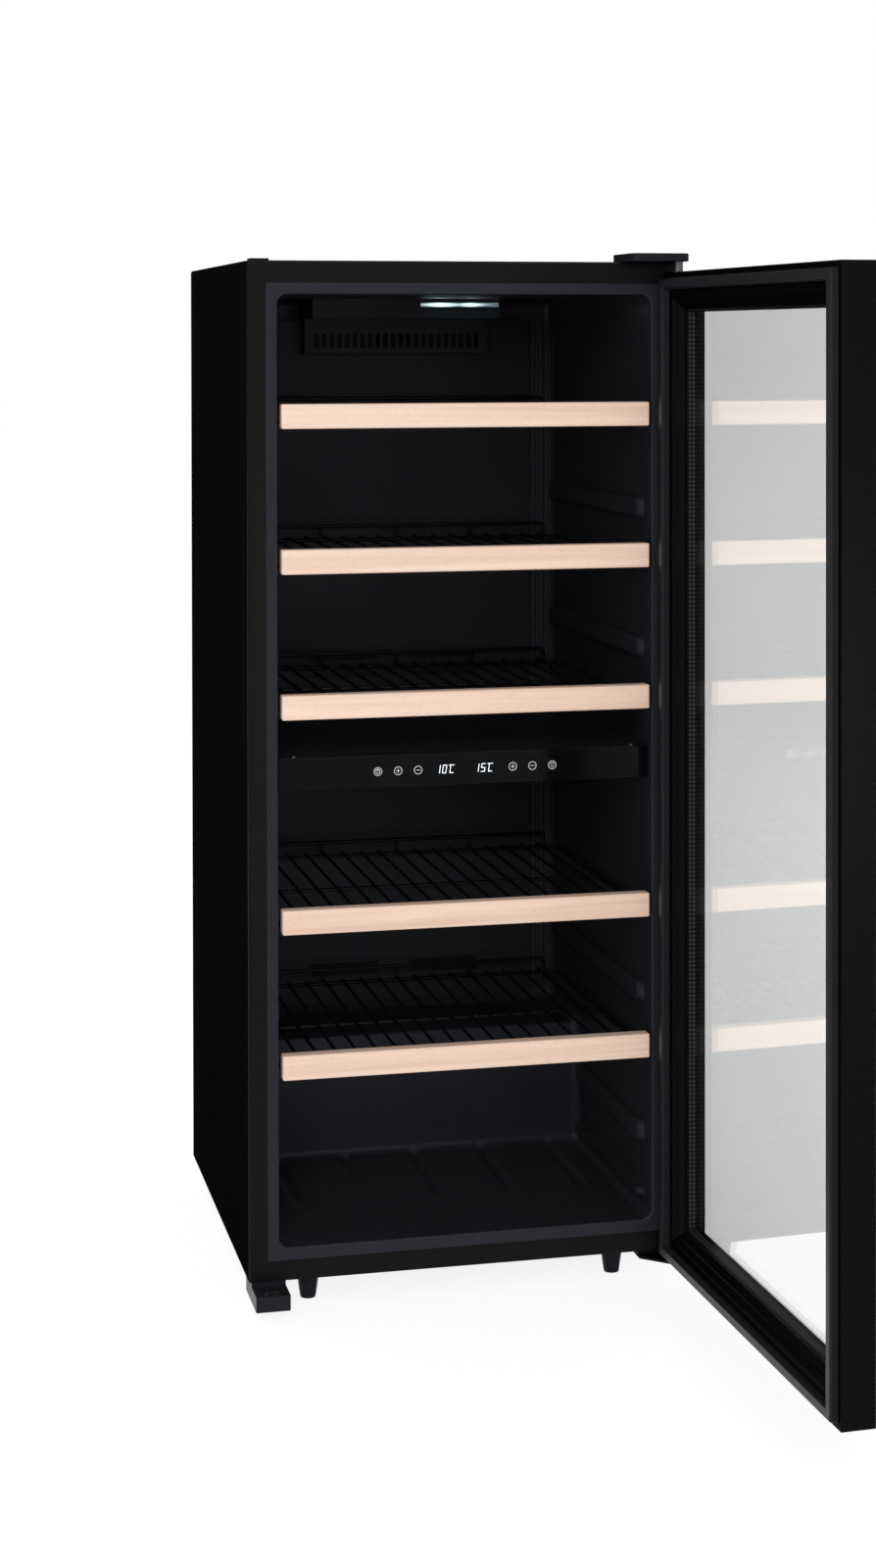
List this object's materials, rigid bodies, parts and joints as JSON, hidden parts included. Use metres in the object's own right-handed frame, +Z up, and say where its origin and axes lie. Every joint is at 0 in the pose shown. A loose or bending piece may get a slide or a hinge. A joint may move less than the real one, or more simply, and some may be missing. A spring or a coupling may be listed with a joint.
{
  "type": "wine cooler",
  "caption": "Tall free-standing two-zone wine cooler: insulated cabinet, framed glass door, sliding wire shelves with wooden fronts, touch control strip and levelling feet.",
  "frame": {"origin": "on the floor, under the middle of the cabinet's footprint", "axes": "+Z up; the door side of the cabinet faces -Y; +X is to the right of a person facing the door"},
  "size_m": [0.6249, 1.0927, 1.28],
  "materials": {
    "shell_paint": "satin black powder coat",
    "liner_plastic": "blue-black moulded polystyrene",
    "cover_plastic": "black moulded plastic",
    "foam": "polyurethane foam",
    "zinc_steel": "zinc plated sheet",
    "black_wire": "black coated wire",
    "beech": "light beech, fine grain, clear varnish",
    "door_paint": "satin black",
    "rubber": "soft black magnetic gasket",
    "clear_glass": "clear float glass",
    "panel_glass": "gloss black",
    "aluminium": "mill finish",
    "spacer_bar": "black perforated spacer",
    "screw_steel": "plated steel",
    "lens": "frosted lamp lens",
    "board": "circuit board",
    "compressor_paint": "gloss black enamel",
    "handle_metal": "satin black tube",
    "brass": "plated lock plug"
  },
  "bodies": {
    "cabinet": {"outer_shell": "shell_paint", "back_panel": "shell_paint", "bay_grille": "shell_paint", "mains_inlet": "cover_plastic", "base_plate": "shell_paint", "inner_liner": "liner_plastic", "machine_room": "zinc_steel", "insulation": "foam", "upper_air_panel": "liner_plastic", "upper_evaporator": "aluminium", "upper_fan_frame": "cover_plastic", "lower_air_panel": "liner_plastic", "lower_evaporator": "aluminium", "lower_fan_frame": "cover_plastic", "ceiling_cover": "cover_plastic", "lamp_lens": "lens", "lamp_board": "board", "divider": "liner_plastic", "control_housing": "cover_plastic", "control_glass": "panel_glass", "control_board": "board", "top_hinge_plate": "shell_paint", "hinge_pins": "screw_steel", "bottom_hinge": "shell_paint", "hinge_cover": "cover_plastic", "blank_cover": "cover_plastic", "catch_bracket": "cover_plastic", "strike_plate": "zinc_steel", "cabinet_screws": "screw_steel", "compressor": "compressor_paint", "drip_tray": "cover_plastic", "condenser": "black_wire"},
    "door": {"door_frame": "door_paint", "glazing_bead": "cover_plastic", "door_gasket": "rubber", "inner_glass": "clear_glass", "outer_glass": "clear_glass", "glass_spacer": "spacer_bar", "door_handle": "handle_metal", "handle_screws": "screw_steel", "lock_body": "screw_steel", "door_bushes": "cover_plastic"},
    "lock": {"lock_plug": "brass", "lock_cam": "zinc_steel"},
    "upper_fan": {"upper_fan": "cover_plastic"},
    "lower_fan": {"lower_fan": "cover_plastic"},
    "shelf_1": {"shelf_1_deck": "black_wire", "shelf_1_front": "beech"},
    "shelf_2": {"shelf_2_deck": "black_wire", "shelf_2_front": "beech"},
    "shelf_3": {"shelf_3_deck": "black_wire", "shelf_3_front": "beech"},
    "shelf_4": {"shelf_4_deck": "black_wire", "shelf_4_front": "beech"},
    "shelf_5": {"shelf_5_deck": "black_wire", "shelf_5_front": "beech"},
    "foot_front_left": {"foot_front_left": "cover_plastic"},
    "foot_rear_left": {"foot_rear_left": "cover_plastic"},
    "foot_front_right": {"foot_front_right": "cover_plastic"},
    "foot_rear_right": {"foot_rear_right": "cover_plastic"}
  },
  "joints": [
    {"name": "door_swing", "type": "hinge", "parent": "cabinet", "child": "door", "pos_m": [0.2625, -0.2835, 0.64375], "axis": [0, 0, 1], "range_deg": [-92, 23]},
    {"name": "lock_turn", "type": "hinge", "parent": "door", "child": "lock", "pos_m": [0.27887, -0.79524, 0.043], "axis": [-0.9994, -0.0349, 0], "range_deg": [0, 90]},
    {"name": "upper_fan_spin", "type": "hinge", "parent": "cabinet", "child": "upper_fan", "pos_m": [0, 0.1975, 1.1654], "axis": [0, 1, 0], "continuous": true},
    {"name": "lower_fan_spin", "type": "hinge", "parent": "cabinet", "child": "lower_fan", "pos_m": [0, 0.1975, 0.577], "axis": [0, 1, 0], "continuous": true},
    {"name": "shelf_1_slide", "type": "slide", "parent": "cabinet", "child": "shelf_1", "axis": [0, -1, 0], "range_m": [0, 0.3]},
    {"name": "shelf_2_slide", "type": "slide", "parent": "cabinet", "child": "shelf_2", "axis": [0, -1, 0], "range_m": [0, 0.3]},
    {"name": "shelf_3_slide", "type": "slide", "parent": "cabinet", "child": "shelf_3", "axis": [0, -1, 0], "range_m": [0, 0.3]},
    {"name": "shelf_4_slide", "type": "slide", "parent": "cabinet", "child": "shelf_4", "axis": [0, -1, 0], "range_m": [0, 0.3]},
    {"name": "shelf_5_slide", "type": "slide", "parent": "cabinet", "child": "shelf_5", "axis": [0, -1, 0], "range_m": [0, 0.3]},
    {"name": "foot_front_left_turn", "type": "hinge", "parent": "cabinet", "child": "foot_front_left", "pos_m": [-0.194, -0.2195, 0.017], "axis": [0, 0, 1], "range_deg": [-360, 360]},
    {"name": "foot_rear_left_turn", "type": "hinge", "parent": "cabinet", "child": "foot_rear_left", "pos_m": [-0.194, 0.2175, 0.017], "axis": [0, 0, 1], "range_deg": [-360, 360]},
    {"name": "foot_front_right_turn", "type": "hinge", "parent": "cabinet", "child": "foot_front_right", "pos_m": [0.194, -0.2195, 0.017], "axis": [0, 0, 1], "range_deg": [-360, 360]},
    {"name": "foot_rear_right_turn", "type": "hinge", "parent": "cabinet", "child": "foot_rear_right", "pos_m": [0.194, 0.2175, 0.017], "axis": [0, 0, 1], "range_deg": [-360, 360]}
  ]
}
